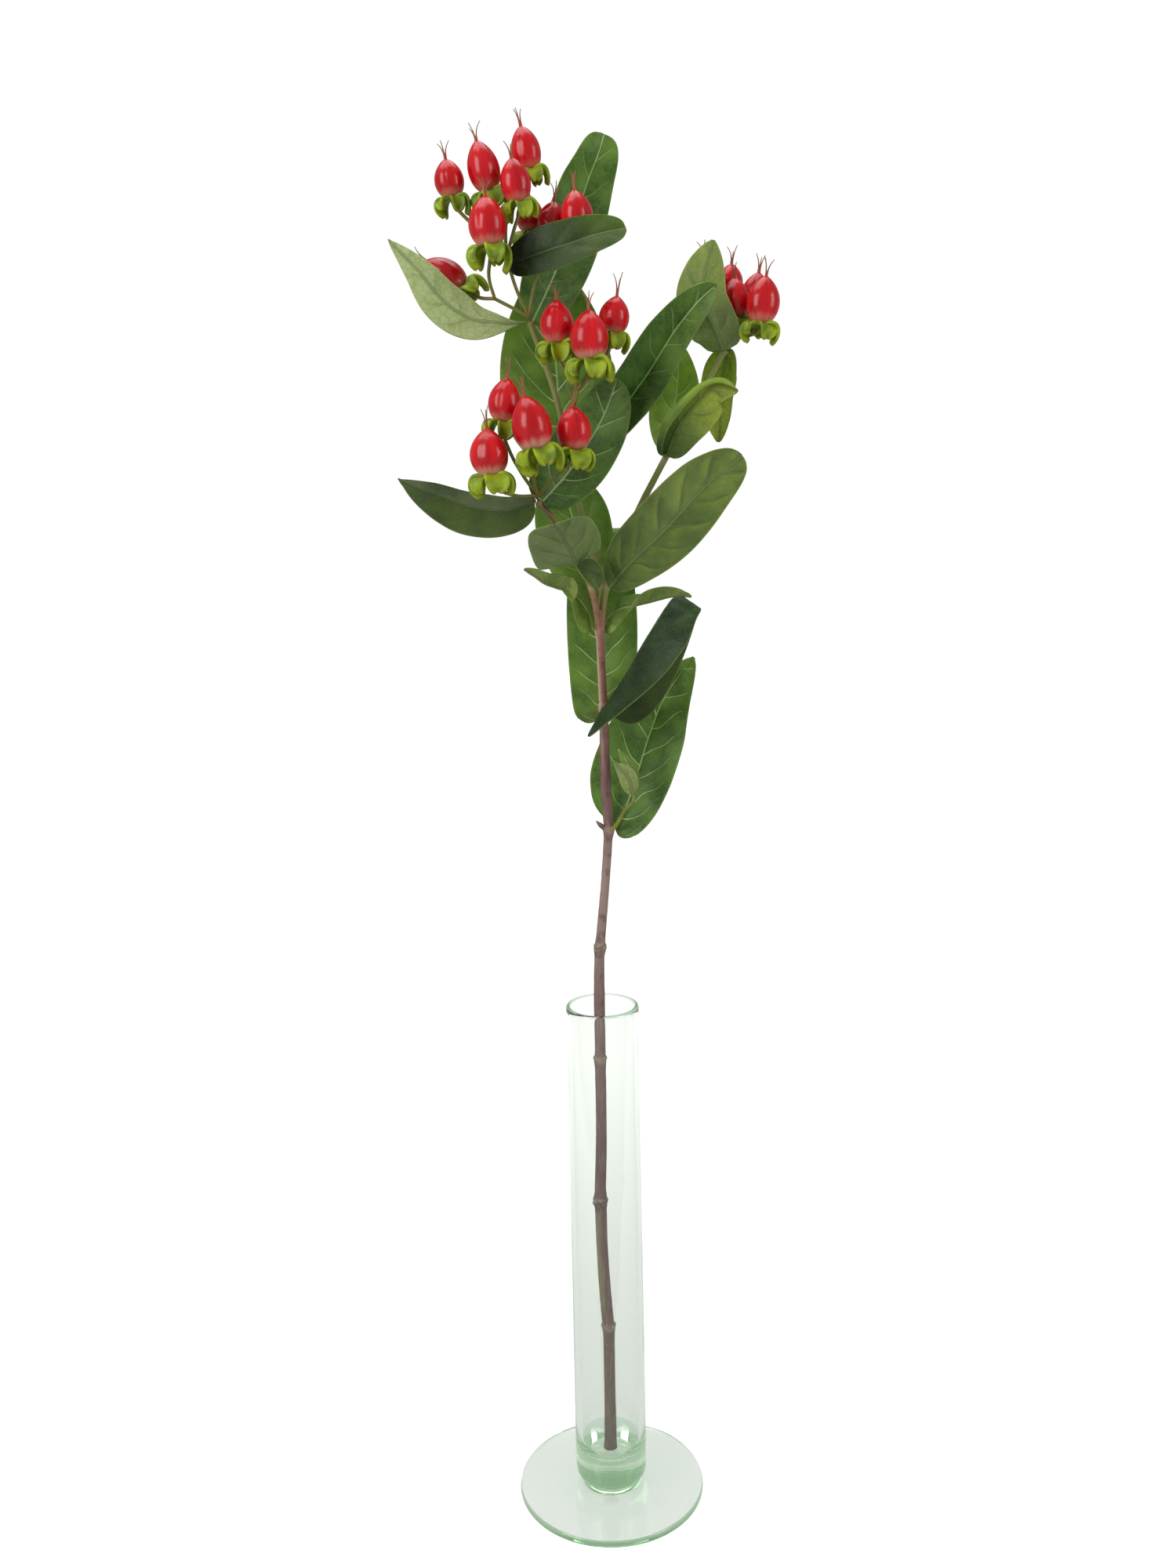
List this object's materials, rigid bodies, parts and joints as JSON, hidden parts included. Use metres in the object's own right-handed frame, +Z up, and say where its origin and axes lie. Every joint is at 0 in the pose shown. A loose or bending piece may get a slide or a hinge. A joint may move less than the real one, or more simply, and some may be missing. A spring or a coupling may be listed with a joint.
{
  "type": "hypericum berry stem in a vase",
  "caption": "Cut hypericum stem with oval leaves and clusters of upright red berries, standing in a slim clear glass bud vase on a round disc foot.",
  "frame": {"origin": "centre of the vase's flat round underside", "axes": "+Z up the vase and the stem; -Y is the side with the leaf undersides and the berry clusters in front; +X is to the right seen from that side"},
  "size_m": [0.1338, 0.074, 0.5252],
  "materials": {
    "glass": "clear, faintly green, polished",
    "stem": "smooth green wood, satin",
    "stalk": "green stalks and sepals, satin",
    "leaf": "living leaf, satin",
    "berry": "glossy berry skin"
  },
  "bodies": {
    "root": {"vase": "glass", "stem": "stem", "leaf_low_right": "leaf", "leaf_second_back": "leaf", "leaf_second_front": "leaf", "leaf_third_left": "leaf", "leaf_third_right": "leaf", "leaf_fourth_back": "leaf", "leaf_fourth_front": "leaf", "leaf_small_right": "leaf", "leaf_left_front": "leaf", "leaf_left_far": "leaf", "leaf_left_near": "leaf", "leaf_middle_back": "leaf", "leaf_middle_right": "leaf", "leaf_top_back": "leaf", "leaf_top_left": "leaf", "leaf_top_bract": "leaf", "leaf_right_back": "leaf", "leaf_right_front": "leaf", "leaf_far_droop": "leaf", "leaf_far_front": "leaf", "side_shoot": "leaf", "berry_01": "berry", "berry_02": "berry", "berry_03": "berry", "berry_04": "berry", "berry_05": "berry", "berry_06": "berry", "berry_07": "berry", "berry_08": "berry", "berry_09": "berry", "berry_10": "berry", "berry_11": "berry", "berry_12": "berry", "berry_13": "berry", "berry_14": "berry", "berry_15": "berry", "berry_16": "berry", "berry_17": "berry", "berry_18": "berry", "berry_19": "berry", "berry_20": "berry", "berry_21": "berry", "stalks_top": "stalk", "stalks_middle": "stalk", "stalks_left": "stalk", "stalks_right": "stalk"}
  },
  "joints": []
}
